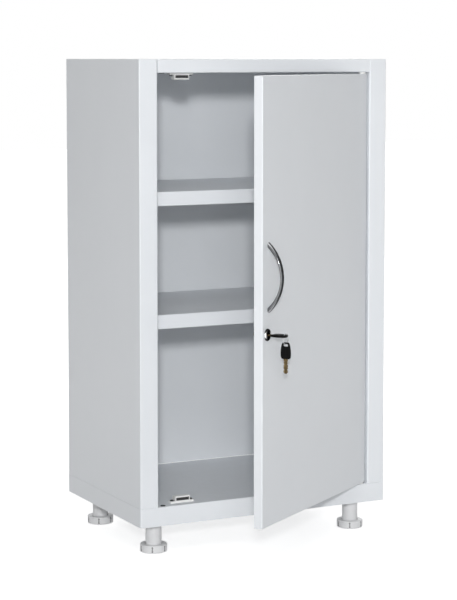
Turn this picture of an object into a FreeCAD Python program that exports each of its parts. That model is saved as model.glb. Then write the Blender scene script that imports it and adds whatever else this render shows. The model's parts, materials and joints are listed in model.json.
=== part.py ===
import FreeCAD, Part
import math
import os
from FreeCAD import Vector

# Free-standing steel medicine cabinet with two shelves and one lockable door, shown with the door ajar.
# Millimetres. X runs to the right seen from the front, Y runs to the back, Z runs up.
# The origin is on the floor, under the middle of the carcass.

# Carcass
carcass_width = 500.0
carcass_depth = 335.0
carcass_height = 826.0
foot_height = 56.0
sheet = 1.0
bend_radius = 1.0
seam = 0.3
fit = 0.05

# Side panels: front stile, its return and lip, and the flanges at the back and the base
stile_width = 35.0
stile_return = 19.0
stile_lip = 10.0
back_flange = 15.0
base_flange = 16.0

# Top panel and base tray
rail_height = 24.0
rail_return = 33.0
rail_lip = 8.0
rail_root_depth = 6.0
top_flange = 20.0
tray_height = 34.5
tray_lip = 12.0
edge_round = 2.0

# Shelves, measured from the underside of the base tray to the shelf's top face
upper_shelf_height = 592.5
lower_shelf_height = 373.5
shelf_lip = 25.0
shelf_return = 12.0
shelf_setback = 27.0
shelf_side_gap = 2.0
shelf_back_gap = 2.0
bracket_sheet = 1.5
bracket_leg = 15.0
bracket_drop = 22.0
bracket_width = 24.0
bracket_inset = 40.0

# Door and its pivots
door_thickness = 16.0
door_gap = 3.0
free_edge_gap = 2.5
pivot_from_stile = 12.0
hinge_overhang = 8.0
hinge_edge_round = 6.0
door_open_angle = 35.0
stiffener_web = 50.0
stiffener_flange = 15.0
stiffener_inset = 60.0
pin_radius = 3.0
pin_head_radius = 5.5
pin_head_height = 2.0
pin_reach = 8.0
bush_radius = 5.0
bush_length = 10.0
bush_flange_radius = 6.5
bush_float = 0.1

# Plugs in the unused pivot holes on the left
plug_head_radius = 4.6
plug_head_height = 0.9
plug_head_round = 0.5
plug_tail = 2.0

# Bow handle
handle_length = 119.0
handle_reach = 27.0
handle_thickness = 4.2
handle_foot = 10.0
handle_width = 10.0
handle_round = 1.6
handle_from_edge = 23.0
handle_height = 461.5
handle_screw_radius = 2.0
handle_screw_depth = 2.6
handle_screw_head_radius = 4.0
handle_screw_head_height = 2.5

# Cam lock
lock_from_edge = 17.0
lock_below_handle = 36.2
lock_face_radius = 10.35
lock_face_height = 3.0
lock_face_chamfer = 0.8
barrel_radius = 9.0
barrel_depth = 20.0
nut_across_flats = 24.0
nut_height = 4.0
access_hole_margin = 2.0
plug_radius = 6.2
plug_wall = 1.0
tail_side = 7.0
cam_float = 0.4
cam_thickness = 2.0
cam_width = 14.0
cam_reach = 30.0
cam_head_round = 6.0
cam_screw_radius = 2.0
cam_screw_head_radius = 5.0
cam_screw_head_height = 2.5

# Keys and their ring
blade_width = 7.7
blade_thickness = 2.0
blade_length = 24.6
blade_tang = 12.0
blade_tip = 2.5
notch_depth = 1.1
notch_count = 4
keyway_gap = 0.25
key_stand_off = 5.5
bow_length = 26.5
bow_neck = 2.0
bow_neck_width = 11.0
bow_width = 19.3
bow_tip_width = 13.2
bow_thickness = 4.6
bow_corner = 3.0
bow_shoulder = 1.0
slot_width = 8.6
slot_length = 4.3
slot_from_tip = 2.6
ring_radius = 9.35
ring_wire = 1.3
ring_play = 0.6
spare_play = 1.2

# Magnetic catches
catch_from_left = 90.4
catch_length = 46.0
catch_body_length = 28.5
catch_depth = 13.0
catch_height = 12.0
catch_ear_height = 3.2
catch_gap = 1.4
magnet_length = 25.0
magnet_height = 3.6
pole_thickness = 0.7
pole_proud = 0.8
magnet_wall = 2.8
catch_screw_radius = 1.6
catch_screw_head_radius = 3.2
catch_screw_head_height = 2.0
catch_screw_length = 7.0

# Levelling feet
foot_inset_x = 46.0
foot_inset_y = 46.0
leg_radius = 14.5
leg_wall = 2.5
leg_cap = 5.0
leg_boss = 12.0
leg_plate_reach = 31.0
leg_plate_thickness = 2.0
leg_bolt_radius = 4.0
leg_bolt_across_flats = 13.0
leg_bolt_head_height = 5.0
stud_radius = 5.0
stud_length = 34.0
stud_chamfer = 1.25
cup_radius = 24.3
cup_bottom = 1.0
cup_top = 15.0
cup_play = 1.0
cup_web = 2.9
cup_round = 1.4
leg_lift = 0.5
slot_count = 6
grip_width = 2.0
grip_depth = 2.0
grip_margin = 2.0
grip_end_radius = 1.5
sole_radius = 20.0
sole_thickness = 3.0
sole_round = 0.8
swivel_gap = 0.1
swivel_side_gap = 0.3

# Small fasteners
rivet_radius = 1.6
rivet_head_radius = 3.3
rivet_head_height = 1.2
head_dome_share = 0.75
rivet_tail_radius = 2.4
rivet_tail_height = 1.8
side_rivet_count = 5
top_rivet_count = 3
rivet_end_margin = 40.0
base_bolt_radius = 2.5
base_bolt_head_radius = 4.5
base_bolt_head_height = 2.2
base_nut_across_flats = 8.0
base_nut_height = 4.0
base_bolt_count = 3
base_bolt_margin = 60.0

# Places worked out from the sizes above
left = -carcass_width / 2
right = carcass_width / 2
front = -carcass_depth / 2
back = carcass_depth / 2
base = foot_height
tray_top = base + tray_height
top = base + carcass_height
rail_bottom = top - rail_height
back_inner = back - sheet
stile_edge = right - stile_width
pivot_x = stile_edge - pivot_from_stile
pivot_y = front + door_thickness / 2
door_left = -stile_edge + free_edge_gap
door_right = pivot_x + hinge_overhang
door_bottom = tray_top + door_gap
door_top = rail_bottom - door_gap
door_back = front + door_thickness
handle_x = door_left + handle_from_edge
handle_z = base + handle_height
lock_x = door_left + lock_from_edge
lock_z = handle_z - handle_length / 2 - lock_below_handle
lock_face = front - lock_face_height
up = Vector(0, 0, 1)
backward = Vector(0, 1, 0)
rightward = Vector(1, 0, 0)
full_turn = 360.0
hex_sides = 6


# General shapes

def block(x_low, x_high, y_low, y_high, z_low, z_high):
    """Box between two corners."""
    return Part.makeBox(x_high - x_low, y_high - y_low, z_high - z_low, Vector(x_low, y_low, z_low))


def rod(radius, x, y, z, length, direction=up):
    """Cylinder that starts at a point and runs along a direction."""
    return Part.makeCylinder(radius, length, Vector(x, y, z), direction)


def rounded_face(corners, radii):
    """Flat face on a closed outline whose corners are rounded by tangent arcs; radius 0 stays sharp."""
    edges = []
    ends = []
    for index, corner in enumerate(corners):
        radius = radii[index]
        if radius == 0:
            ends.append((corner, None, corner))
            continue
        before = (corners[index - 1] - corner).normalize()
        after = (corners[(index + 1) % len(corners)] - corner).normalize()
        half = before.getAngle(after) / 2
        reach = radius / math.tan(half)
        centre = corner + (before + after).normalize() * (radius / math.sin(half))
        middle = centre + (corner - centre).normalize() * radius
        ends.append((corner + before * reach, middle, corner + after * reach))
    for index, (start, middle, finish) in enumerate(ends):
        previous = ends[index - 1][2]
        if (start - previous).Length > 1e-6:
            edges.append(Part.LineSegment(previous, start).toShape())
        if middle is not None:
            edges.append(Part.Arc(start, middle, finish).toShape())
    return Part.Face(Part.Wire(edges))


def folded_sheet(path, inner_radii, place, length):
    """Folded sheet: path runs along one face in a flat plane, the sheet's thickness lies to its left,
    each inner point has its inside bend radius, place turns flat points into space, length extrudes."""
    directions = []
    for start, finish in zip(path, path[1:]):
        run = math.hypot(finish[0] - start[0], finish[1] - start[1])
        directions.append(((finish[0] - start[0]) / run, (finish[1] - start[1]) / run))
    normals = [(-d[1], d[0]) for d in directions]
    offset = []
    near_radii = [0.0]
    far_radii = [0.0]
    for index, point in enumerate(path):
        first = normals[max(index - 1, 0)]
        second = normals[min(index, len(normals) - 1)]
        share = sheet / (1 + first[0] * second[0] + first[1] * second[1])
        offset.append((point[0] + (first[0] + second[0]) * share, point[1] + (first[1] + second[1]) * share))
    for index in range(1, len(path) - 1):
        before = directions[index - 1]
        after = directions[index]
        turns_left = before[0] * after[1] - before[1] * after[0] > 0
        inner = inner_radii[index - 1]
        near_radii.append(inner + sheet if turns_left else inner)
        far_radii.append(inner if turns_left else inner + sheet)
    near_radii.append(0.0)
    far_radii.append(0.0)
    corners = [place(a, b) for a, b in path + offset[::-1]]
    return rounded_face(corners, near_radii + far_radii[::-1]).extrude(length)


def fillet_where(shape, radius, chosen):
    """Round the edges whose middle and length pass a test."""
    edges = [edge for edge in shape.Edges if chosen(edge.CenterOfMass, edge)]
    return shape.makeFillet(radius, edges)


def same(first, second):
    """Whether two places are equal to within rounding."""
    return abs(first - second) < 1e-4


def hexagon(across_flats, height, centre, direction):
    """Hexagonal prism on a centre point."""
    radius = across_flats / math.sqrt(3)
    turns = [math.radians(full_turn * index / hex_sides) for index in range(hex_sides + 1)]
    wire = Part.makePolygon([Vector(radius * math.cos(turn), radius * math.sin(turn), 0) for turn in turns])
    prism = Part.Face(wire).extrude(Vector(0, 0, height))
    prism.Placement = FreeCAD.Placement(centre, FreeCAD.Rotation(up, direction))
    return prism


def joined(first, *others):
    """Several touching solids as one clean solid."""
    return first.fuse(list(others)).removeSplitter()


def flipped(shape):
    """The same shape mirrored from left to right."""
    return shape.mirror(Vector(0, 0, 0), rightward)


def opened(shape):
    """A door piece, drawn with the door shut, swung to the resting angle."""
    swung = shape.copy()
    swung.rotate(Vector(pivot_x, pivot_y, 0), up, door_open_angle)
    return swung


def spread(first, last, count):
    """Evenly spaced places from first to last."""
    return [first + (last - first) * index / (count - 1) for index in range(count)]


def save(name, *solids):
    """Write a node: one solid, or a group of separate solids."""
    shape = solids[0] if len(solids) == 1 else Part.makeCompound(list(solids))
    shape.exportStep("parts/" + name + ".step")
    print(name, "solids", len(shape.Solids), "valid", shape.isValid(), "volume", round(shape.Volume, 1))


# Carcass

def base_bolt_places():
    """Where bolts hold each side panel's base flange to the tray."""
    x = right - sheet - base_flange / 2
    rows = spread(front + base_bolt_margin, back - base_bolt_margin, base_bolt_count)
    return [(side * x, y) for side in (-1, 1) for y in rows]


def side_rivet_places():
    """Where rivets hold the back panel to the side panels' back flanges."""
    x = right - sheet - back_flange / 2
    heights = spread(tray_top + rivet_end_margin, top - rivet_end_margin, side_rivet_count)
    return [(side * x, z) for side in (-1, 1) for z in heights]


def top_rivet_places():
    """Where rivets hold the back panel to the top panel's back flange."""
    reach = right - back_flange - rivet_end_margin
    return [(x, top - top_flange / 2 - sheet / 2) for x in spread(-reach, reach, top_rivet_count)]


def bracket_places(shelf_height):
    """Each shelf bracket's side, middle and upper face."""
    seat = base + shelf_height - shelf_lip
    rows = (front + shelf_setback + bracket_inset, back_inner - sheet - shelf_back_gap - bracket_inset)
    return [(side, y, seat) for side in (-1, 1) for y in rows]


def left_side_panel():
    """Left wall folded with its front stile, return, lip and back flange, and a base flange."""
    path = [
        (left + back_flange, back_inner),
        (left, back_inner),
        (left, front),
        (-stile_edge, front),
        (-stile_edge, front + stile_return),
        (-stile_edge - stile_lip, front + stile_return),
    ]
    wall = folded_sheet(
        path, [bend_radius] * 4, lambda x, y: Vector(x, y, tray_top), Vector(0, 0, top - tray_top)
    )
    room = block(left + sheet, -stile_edge + seam, front + sheet, back, top - sheet - seam, top)
    flange = block(
        left + sheet / 2, left + sheet + base_flange,
        front + stile_return + seam, back_inner - sheet - bend_radius, tray_top, tray_top + sheet,
    )
    panel = joined(wall.cut(room), flange)
    holes = [rod(base_bolt_radius + fit, x, y, tray_top, sheet) for x, y in base_bolt_places() if x < 0]
    holes += [
        rod(rivet_radius + fit, x, back_inner - sheet, z, sheet, backward)
        for x, z in side_rivet_places() if x < 0
    ]
    return panel.cut(holes)


def top_panel():
    """Top sheet with side and back flanges, and a front rail folded back over the doorway."""
    inner = right - sheet - seam
    between = stile_edge - seam
    step = front + sheet + seam
    rail_root = front + rail_root_depth
    outline = [
        (-inner, step), (-between, step), (-between, rail_root), (between, rail_root),
        (between, step), (inner, step), (inner, back_inner), (-inner, back_inner),
    ]
    plate = rounded_face([Vector(x, y, top - sheet) for x, y in outline], [0] * len(outline))
    cover = plate.extrude(Vector(0, 0, sheet))
    rail_path = [
        (rail_root, top),
        (front, top),
        (front, rail_bottom),
        (front + rail_return, rail_bottom),
        (front + rail_return, rail_bottom + rail_lip),
    ]
    rail = folded_sheet(
        rail_path, [bend_radius] * 3, lambda y, z: Vector(-between, y, z), Vector(2 * between, 0, 0)
    )
    flange_start = step + bend_radius
    flange_end = back_inner - sheet - bend_radius - seam
    left_flange = block(-inner, -inner + sheet, flange_start, flange_end, top - top_flange, top)
    right_flange = block(inner - sheet, inner, flange_start, flange_end, top - top_flange, top)
    reach = right - back_flange - seam
    back_wall = block(-reach, reach, back_inner - sheet, back_inner, top - top_flange, top)
    panel = joined(cover, rail, left_flange, right_flange, back_wall)
    holes = [
        rod(pin_radius + fit, side * pivot_x, pivot_y, rail_bottom, sheet) for side in (-1, 1)
    ]
    holes += [rod(catch_screw_radius + fit, x, y, rail_bottom, sheet) for x, y in catch_screw_places()]
    holes += [
        rod(rivet_radius + fit, x, back_inner - sheet, z, sheet, backward) for x, z in top_rivet_places()
    ]
    return panel.cut(holes)


def bottom_tray():
    """Upturned pan under the carcass: floor sheet, skirts all round and inward lips at the bottom."""
    body = block(left, right, front, back, base, tray_top)
    body = fillet_where(
        body, edge_round,
        lambda middle, edge: same(middle.z, tray_top) or same(middle.z, base + tray_height / 2),
    )
    hollow = block(left + sheet, right - sheet, front + sheet, back - sheet, base + sheet, tray_top - sheet)
    hollow = fillet_where(
        hollow, edge_round - sheet,
        lambda middle, edge: same(edge.Length, tray_height - 2 * sheet) or same(middle.z, tray_top - sheet),
    )
    mouth = block(left + tray_lip, right - tray_lip, front + tray_lip, back - tray_lip, base, base + sheet)
    holes = [
        rod(pin_radius + fit, side * pivot_x, pivot_y, tray_top - sheet, sheet) for side in (-1, 1)
    ]
    holes += [rod(base_bolt_radius + fit, x, y, tray_top - sheet, sheet) for x, y in base_bolt_places()]
    holes += [
        rod(catch_screw_radius + fit, x, y, tray_top - sheet, sheet) for x, y in catch_screw_places()
    ]
    return body.cut([hollow, mouth] + holes)


def back_panel():
    """Flat sheet riveted to the flanges at the back."""
    panel = block(left + sheet, right - sheet, back_inner, back, tray_top + seam, top - seam)
    places = side_rivet_places() + top_rivet_places()
    return panel.cut([rod(rivet_radius + fit, x, back_inner, z, sheet, backward) for x, z in places])


def rivet(x, y, z, direction, grip):
    """Blind rivet: domed head outside, shank through the sheets and a set tail inside."""
    head = rod(rivet_head_radius, x, y, z, rivet_head_height, direction)
    head = fillet_where(
        head, rivet_head_height * head_dome_share,
        lambda middle, edge: same((middle - Vector(x, y, z)).dot(direction), rivet_head_height)
        and same(edge.Length, 2 * math.pi * rivet_head_radius),
    )
    inward = direction * -1
    shank = rod(rivet_radius, x, y, z, grip, inward)
    start = Vector(x, y, z) + inward * grip
    tail = rod(rivet_tail_radius, start.x, start.y, start.z, rivet_tail_height, inward)
    return joined(head, shank, tail)


def back_rivets():
    """Rivets of the back panel."""
    places = side_rivet_places() + top_rivet_places()
    return [rivet(x, back, z, backward, 2 * sheet) for x, z in places]


def base_bolts():
    """Round-headed bolts through the base flanges and the tray floor."""
    bolts = []
    length = 2 * sheet + base_nut_height
    for x, y in base_bolt_places():
        head = rod(base_bolt_head_radius, x, y, tray_top + sheet, base_bolt_head_height)
        head = fillet_where(
            head, base_bolt_head_height * head_dome_share,
            lambda middle, edge: same(middle.z, tray_top + sheet + base_bolt_head_height)
            and same(edge.Length, 2 * math.pi * base_bolt_head_radius),
        )
        shank = rod(base_bolt_radius, x, y, tray_top + sheet - length, length)
        bolts.append(joined(head, shank))
    return bolts


def base_nuts():
    """Nuts of the base bolts, under the tray floor."""
    nuts = []
    for x, y in base_bolt_places():
        low = tray_top - sheet - base_nut_height
        nut = hexagon(base_nut_across_flats, base_nut_height, Vector(x, y, low), up)
        nuts.append(nut.cut(rod(base_bolt_radius + fit, x, y, low, base_nut_height)))
    return nuts


# Shelves

def shelf(height):
    """Shelf pan: top sheet, lips down all round and inward returns along their lower edge."""
    x_reach = right - sheet - shelf_side_gap
    y_low = front + shelf_setback
    y_high = back_inner - sheet - shelf_back_gap
    high = base + height
    low = high - shelf_lip
    body = block(-x_reach, x_reach, y_low, y_high, low, high)
    body = fillet_where(body, edge_round, lambda middle, edge: same(middle.z, high))
    hollow = block(
        -x_reach + sheet, x_reach - sheet, y_low + sheet, y_high - sheet, low + sheet, high - sheet
    )
    hollow = fillet_where(hollow, edge_round - sheet, lambda middle, edge: same(middle.z, high - sheet))
    mouth = block(
        -x_reach + shelf_return, x_reach - shelf_return,
        y_low + shelf_return, y_high - shelf_return, low, low + sheet,
    )
    return body.cut([hollow, mouth])


def shelf_brackets(height):
    """Four angle brackets, welded to the side walls, that carry a shelf's returns."""
    wall = right - sheet
    brackets = []
    for side, y, seat in bracket_places(height):
        y_low = y - bracket_width / 2
        y_high = y + bracket_width / 2
        upright = block(wall - bracket_sheet, wall, y_low, y_high, seat - bracket_drop, seat)
        ledge = block(wall - bracket_leg, wall, y_low, y_high, seat - bracket_sheet, seat)
        angle = joined(upright, ledge)
        brackets.append(angle if side > 0 else flipped(angle))
    return brackets


# Door

def door_outline(z):
    """Door outline seen from above, with its rounded front corners."""
    corners = [
        Vector(door_left, door_back, z), Vector(door_left, front, z),
        Vector(door_right, front, z), Vector(door_right, door_back, z),
    ]
    return rounded_face(corners, [0, bend_radius + sheet, hinge_edge_round, 0])


def door_shell():
    """Front sheet of the door folded round its four edges, open at the back."""
    path = [
        (door_left, door_back), (door_left, front), (door_right, front), (door_right, door_back),
    ]
    wall = folded_sheet(
        path, [bend_radius, hinge_edge_round - sheet],
        lambda x, y: Vector(x, y, door_bottom), Vector(0, 0, door_top - door_bottom),
    )
    lid = door_outline(door_top - sheet).extrude(Vector(0, 0, sheet))
    floor = door_outline(door_bottom).extrude(Vector(0, 0, sheet))
    shell = joined(wall, lid, floor)
    shell = fillet_where(
        shell, bend_radius,
        lambda middle, edge: same(middle.y, front)
        and (same(middle.z, door_top) or same(middle.z, door_bottom)),
    )
    holes = [
        rod(bush_radius + fit, pivot_x, pivot_y, door_top - sheet, sheet),
        rod(bush_radius + fit, pivot_x, pivot_y, door_bottom, sheet),
        rod(barrel_radius + fit, lock_x, front, lock_z, sheet, backward),
    ]
    holes += [
        rod(handle_screw_radius + fit, handle_x, front, z, sheet, backward) for z in handle_screw_rows()
    ]
    return shell.cut(holes)


def door_inner_panel():
    """Flat sheet that closes the back of the door, with an access hole round the lock."""
    margin = sheet + seam
    panel = block(
        door_left + margin, door_right - margin, door_back - sheet, door_back,
        door_bottom + margin, door_top - margin,
    )
    reach = min(nut_across_flats / math.sqrt(3) + access_hole_margin, lock_from_edge - 2 * margin)
    return panel.cut(rod(reach, lock_x, door_back - sheet, lock_z, sheet, backward))


def door_stiffener():
    """Hat-shaped channel between the door's two sheets."""
    middle = (door_left + door_right) / 2
    web = stiffener_web / 2
    rim = web + stiffener_flange
    y_web = front + 2 * sheet
    y_rim = door_back - sheet
    path = [
        (middle + rim, y_rim), (middle + web, y_rim), (middle + web, y_web),
        (middle - web, y_web), (middle - web, y_rim), (middle - rim, y_rim),
    ]
    low = door_bottom + stiffener_inset
    length = door_top - stiffener_inset - low
    return folded_sheet(path, [bend_radius] * 4, lambda x, y: Vector(x, y, low), Vector(0, 0, length))


def pivot_pin(floor_side):
    """Headed pivot pin through the rail's return, or the tray floor, into the door's bush."""
    if floor_side:
        head_low = tray_top - sheet - pin_head_height
        shank_low = tray_top - sheet
        shank_length = sheet + door_gap + pin_reach
    else:
        head_low = rail_bottom + sheet
        shank_low = door_top - pin_reach
        shank_length = pin_reach + door_gap + sheet
    head = rod(pin_head_radius, pivot_x, pivot_y, head_low, pin_head_height)
    shank = rod(pin_radius, pivot_x, pivot_y, shank_low, shank_length)
    return joined(head, shank)


def hole_plug(floor_side):
    """Push-in plug for a pivot hole that only a door hung on the left would need."""
    x = -pivot_x
    head_start = tray_top if floor_side else rail_bottom
    outward = up if floor_side else up * -1
    head = rod(plug_head_radius, x, pivot_y, head_start, plug_head_height, outward)
    head = fillet_where(
        head, plug_head_round,
        lambda middle, edge: same(abs(middle.z - head_start), plug_head_height)
        and same(edge.Length, 2 * math.pi * plug_head_radius),
    )
    shank = rod(pin_radius, x, pivot_y, head_start, sheet + plug_tail, outward * -1)
    return joined(head, shank)


def pivot_bush(floor_side):
    """Flanged bush in the door's edge that turns on a pivot pin and spaces the door from the carcass."""
    flange_height = door_gap - bush_float
    if floor_side:
        flange_low = door_bottom - flange_height
        body_low = door_bottom
    else:
        flange_low = door_top
        body_low = door_top - bush_length
    flange = rod(bush_flange_radius, pivot_x, pivot_y, flange_low, flange_height)
    body = rod(bush_radius, pivot_x, pivot_y, body_low, bush_length)
    bore_low = min(flange_low, body_low)
    bore = rod(pin_radius + fit, pivot_x, pivot_y, bore_low, flange_height + bush_length)
    return joined(flange, body).cut(bore)


def handle_screw_rows():
    """Heights of the two handle screws."""
    reach = (handle_length - handle_foot) / 2
    return [handle_z - reach, handle_z + reach]


def arc_through(half_span, rise):
    """Arc that stands off the door by a rise between two points on its face."""
    x = handle_x - handle_width / 2
    return Part.Arc(
        Vector(x, front, handle_z - half_span),
        Vector(x, front - rise, handle_z),
        Vector(x, front, handle_z + half_span),
    )


def door_handle():
    """Bow handle: a crescent between two arcs, rounded along its edges, with a screw hole in each foot."""
    outer = arc_through(handle_length / 2, handle_reach)
    inner = arc_through(handle_length / 2 - handle_foot, handle_reach - handle_thickness)
    edges = [outer.toShape(), inner.toShape()]
    edges.append(Part.LineSegment(outer.StartPoint, inner.StartPoint).toShape())
    edges.append(Part.LineSegment(outer.EndPoint, inner.EndPoint).toShape())
    face = Part.Face(Part.Wire(Part.__sortEdges__(edges)))
    bow = face.extrude(Vector(handle_width, 0, 0))
    bow = fillet_where(bow, handle_round, lambda middle, edge: edge.Length > handle_length / 2)
    holes = [
        rod(handle_screw_radius + fit, handle_x, front - handle_screw_depth, z, handle_screw_depth, backward)
        for z in handle_screw_rows()
    ]
    return bow.cut(holes)


def handle_screws():
    """Screws that come from inside the door into the handle's feet."""
    screws = []
    for z in handle_screw_rows():
        head = rod(handle_screw_head_radius, handle_x, front + sheet, z, handle_screw_head_height, backward)
        start = front - handle_screw_depth + fit
        shank = rod(handle_screw_radius, handle_x, start, z, front + sheet - start, backward)
        screws.append(joined(head, shank))
    return screws


# Lock

def lock_housing():
    """Round lock face and the barrel behind it, bored for the plug."""
    face = rod(lock_face_radius, lock_x, lock_face, lock_z, lock_face_height, backward)
    face = fillet_where(
        face, lock_face_chamfer,
        lambda middle, edge: same(middle.y, lock_face) and same(edge.Length, 2 * math.pi * lock_face_radius),
    )
    barrel = rod(barrel_radius, lock_x, front, lock_z, barrel_depth, backward)
    bore = rod(plug_radius + fit, lock_x, lock_face, lock_z, lock_face_height + barrel_depth, backward)
    return joined(face, barrel).cut(bore)


def lock_nut():
    """Hexagonal nut that clamps the barrel behind the door's front sheet."""
    nut = hexagon(nut_across_flats, nut_height, Vector(lock_x, front + sheet, lock_z), backward)
    return nut.cut(rod(barrel_radius + fit, lock_x, front + sheet, lock_z, nut_height, backward))


def tail_start():
    """Where the square tail of the plug begins, just past the barrel."""
    return front + barrel_depth + cam_float


def keyway_end():
    """Depth that the keyway reaches, a little past the tip of the inserted blade."""
    return lock_face - key_stand_off + blade_length + keyway_gap


def lock_plug():
    """Turning plug with a keyway at the front and a square tail for the cam."""
    body = rod(plug_radius, lock_x, lock_face, lock_z, tail_start() - lock_face, backward)
    half = tail_side / 2
    tail = block(
        lock_x - half, lock_x + half, tail_start(), tail_start() + cam_thickness, lock_z - half, lock_z + half
    )
    half_width = blade_width / 2 + keyway_gap
    half_height = blade_thickness / 2 + keyway_gap
    keyway = block(
        lock_x - half_width, lock_x + half_width, lock_face, keyway_end(),
        lock_z - half_height, lock_z + half_height,
    )
    thread_start = keyway_end() + plug_wall
    thread_length = tail_start() + cam_thickness - thread_start
    thread = rod(cam_screw_radius + fit, lock_x, thread_start, lock_z, thread_length, backward)
    return joined(body, tail).cut([keyway, thread])


def lock_cam():
    """Flat cam on the plug's tail; it hangs down when unlocked and turns behind the stile to lock."""
    near = tail_start()
    half = cam_width / 2
    low = lock_z - cam_reach
    corners = [
        Vector(lock_x - half, near, lock_z + half), Vector(lock_x + half, near, lock_z + half),
        Vector(lock_x + half, near, low), Vector(lock_x - half, near, low),
    ]
    rounds = [cam_head_round, cam_head_round, edge_round, edge_round]
    plate = rounded_face(corners, rounds).extrude(Vector(0, cam_thickness, 0))
    side = tail_side / 2 + fit
    hole = block(lock_x - side, lock_x + side, near, near + cam_thickness, lock_z - side, lock_z + side)
    return plate.cut(hole)


def cam_screw():
    """Screw with a washer head that holds the cam on the tail."""
    near = tail_start() + cam_thickness
    head = rod(cam_screw_head_radius, lock_x, near, lock_z, cam_screw_head_height, backward)
    start = keyway_end() + plug_wall + fit
    shank = rod(cam_screw_radius, lock_x, start, lock_z, near - start, backward)
    return joined(head, shank)


# Keys. Each is drawn flat: the blade points along +Y from the bow, and the bow's tip is at -Y.

def bow_total():
    """Length of a key's bow with its neck."""
    return bow_length + bow_neck


def flat_blade():
    """Key blade with notched edges, a pointed tip and a tang inside the bow; the bow ends at Y = 0."""
    half = blade_width / 2
    edge = [Vector(half, -blade_tang, 0)]
    pitch = (blade_length - blade_tip) / (notch_count + 1)
    for index in range(notch_count):
        middle = pitch * (index + 1)
        edge.append(Vector(half, middle - notch_depth, 0))
        edge.append(Vector(half - notch_depth, middle, 0))
        edge.append(Vector(half, middle + notch_depth, 0))
    edge.append(Vector(half, blade_length - blade_tip, 0))
    edge.append(Vector(half - blade_tip, blade_length, 0))
    mirrored = [Vector(-point.x, point.y, 0) for point in reversed(edge)]
    outline = edge + mirrored
    face = Part.Face(Part.makePolygon(outline + [outline[0]]))
    return face.extrude(Vector(0, 0, blade_thickness)).translated(Vector(0, 0, -blade_thickness / 2))


def flat_bow():
    """Plastic key head: it widens from the tip to the neck, with a slot near the tip and a tang pocket."""
    tip = bow_tip_width / 2
    wide = bow_width / 2
    neck = bow_neck_width / 2
    far = -bow_total()
    corners = [
        Vector(-tip, far, 0), Vector(tip, far, 0), Vector(wide, -bow_neck, 0), Vector(neck, 0, 0),
        Vector(-neck, 0, 0), Vector(-wide, -bow_neck, 0),
    ]
    face = rounded_face(corners, [bow_corner, bow_corner, bow_shoulder, 0, 0, bow_shoulder])
    body = face.extrude(Vector(0, 0, bow_thickness)).translated(Vector(0, 0, -bow_thickness / 2))
    slot_far = far + slot_from_tip
    slot = block(
        -slot_width / 2, slot_width / 2, slot_far, slot_far + slot_length, -bow_thickness, bow_thickness
    )
    slot = fillet_where(slot, edge_round, lambda middle, edge: same(edge.Length, 2 * bow_thickness))
    half = blade_width / 2 + fit
    pocket = block(
        -half, half, -blade_tang - fit, 0, -blade_thickness / 2 - fit, blade_thickness / 2 + fit
    )
    return body.cut([slot, pocket])


def ring_plane():
    """Distance of the ring's plane in front of the lock face."""
    return key_stand_off + bow_total() - slot_from_tip - slot_length / 2


def held_strip():
    """Offset from the key's middle to the strip of bow beside the slot, which carries the ring."""
    return slot_width / 2 + (bow_tip_width - slot_width) / 4


def ring_drop():
    """Drop from the carrying strip's middle to the ring's middle, so that the ring can turn round it."""
    half_diagonal = math.hypot((bow_tip_width - slot_width) / 4, bow_thickness / 2)
    return ring_radius - ring_wire / 2 - half_diagonal - ring_play


def inserted(shape):
    """A flat key piece put into the lock, lying level."""
    return shape.translated(Vector(lock_x, lock_face - key_stand_off, lock_z))


def hanging(shape):
    """A flat key piece hung on the ring, blade down and edge towards the door."""
    hung = shape.copy()
    hung.rotate(Vector(0, 0, 0), rightward, -90)
    hung.rotate(Vector(0, 0, 0), up, 90)
    wire_z = lock_z - ring_drop() - ring_radius
    slot_top = wire_z + spare_play
    bow_tip_z = slot_top + slot_from_tip
    return hung.translated(Vector(lock_x + held_strip(), lock_face - ring_plane(), bow_tip_z - bow_total()))


def key_ring():
    """Wire ring through the inserted key's slot; its plane is parallel to the door."""
    centre = Vector(lock_x + held_strip(), lock_face - ring_plane(), lock_z - ring_drop())
    return Part.makeTorus(ring_radius, ring_wire / 2, centre, backward)


# Magnetic catches

def catch_screw_places():
    """Where screws hold a catch's ears."""
    ear = (catch_length + catch_body_length) / 4
    middle = left + catch_from_left
    y = door_back + catch_gap + catch_depth / 2
    return [(middle - ear, y), (middle + ear, y)]


def standing_catch():
    """Catch housing, magnet and pole plates drawn standing on Z = 0."""
    middle = left + catch_from_left
    near = door_back + catch_gap
    far = near + catch_depth
    ears = block(middle - catch_length / 2, middle + catch_length / 2, near, far, 0, catch_ear_height)
    ears = fillet_where(ears, edge_round, lambda point, edge: same(edge.Length, catch_ear_height))
    body = block(middle - catch_body_length / 2, middle + catch_body_length / 2, near, far, 0, catch_height)
    body = fillet_where(body, bend_radius, lambda point, edge: same(point.z, catch_height))
    stack = magnet_height + 2 * pole_thickness
    low = catch_height - magnet_wall - stack
    half = magnet_length / 2
    room = block(
        middle - half - fit, middle + half + fit, near, far - magnet_wall, low - fit, low + stack + fit
    )
    holes = [rod(catch_screw_radius + fit, x, y, 0, catch_ear_height) for x, y in catch_screw_places()]
    housing = joined(ears, body).cut([room] + holes)
    magnet_low = low + pole_thickness
    inside = far - magnet_wall - fit
    magnet = block(middle - half, middle + half, near, inside, magnet_low, magnet_low + magnet_height)
    poles = [
        block(middle - half, middle + half, near - pole_proud, inside, z, z + pole_thickness)
        for z in (low, magnet_low + magnet_height)
    ]
    return housing, magnet, poles


def standing_catch_screws():
    """The two screws of a catch drawn standing on Z = 0."""
    screws = []
    for x, y in catch_screw_places():
        head = rod(catch_screw_head_radius, x, y, catch_ear_height, catch_screw_head_height)
        shank = rod(catch_screw_radius, x, y, catch_ear_height - catch_screw_length, catch_screw_length)
        screws.append(joined(head, shank))
    return screws


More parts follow.
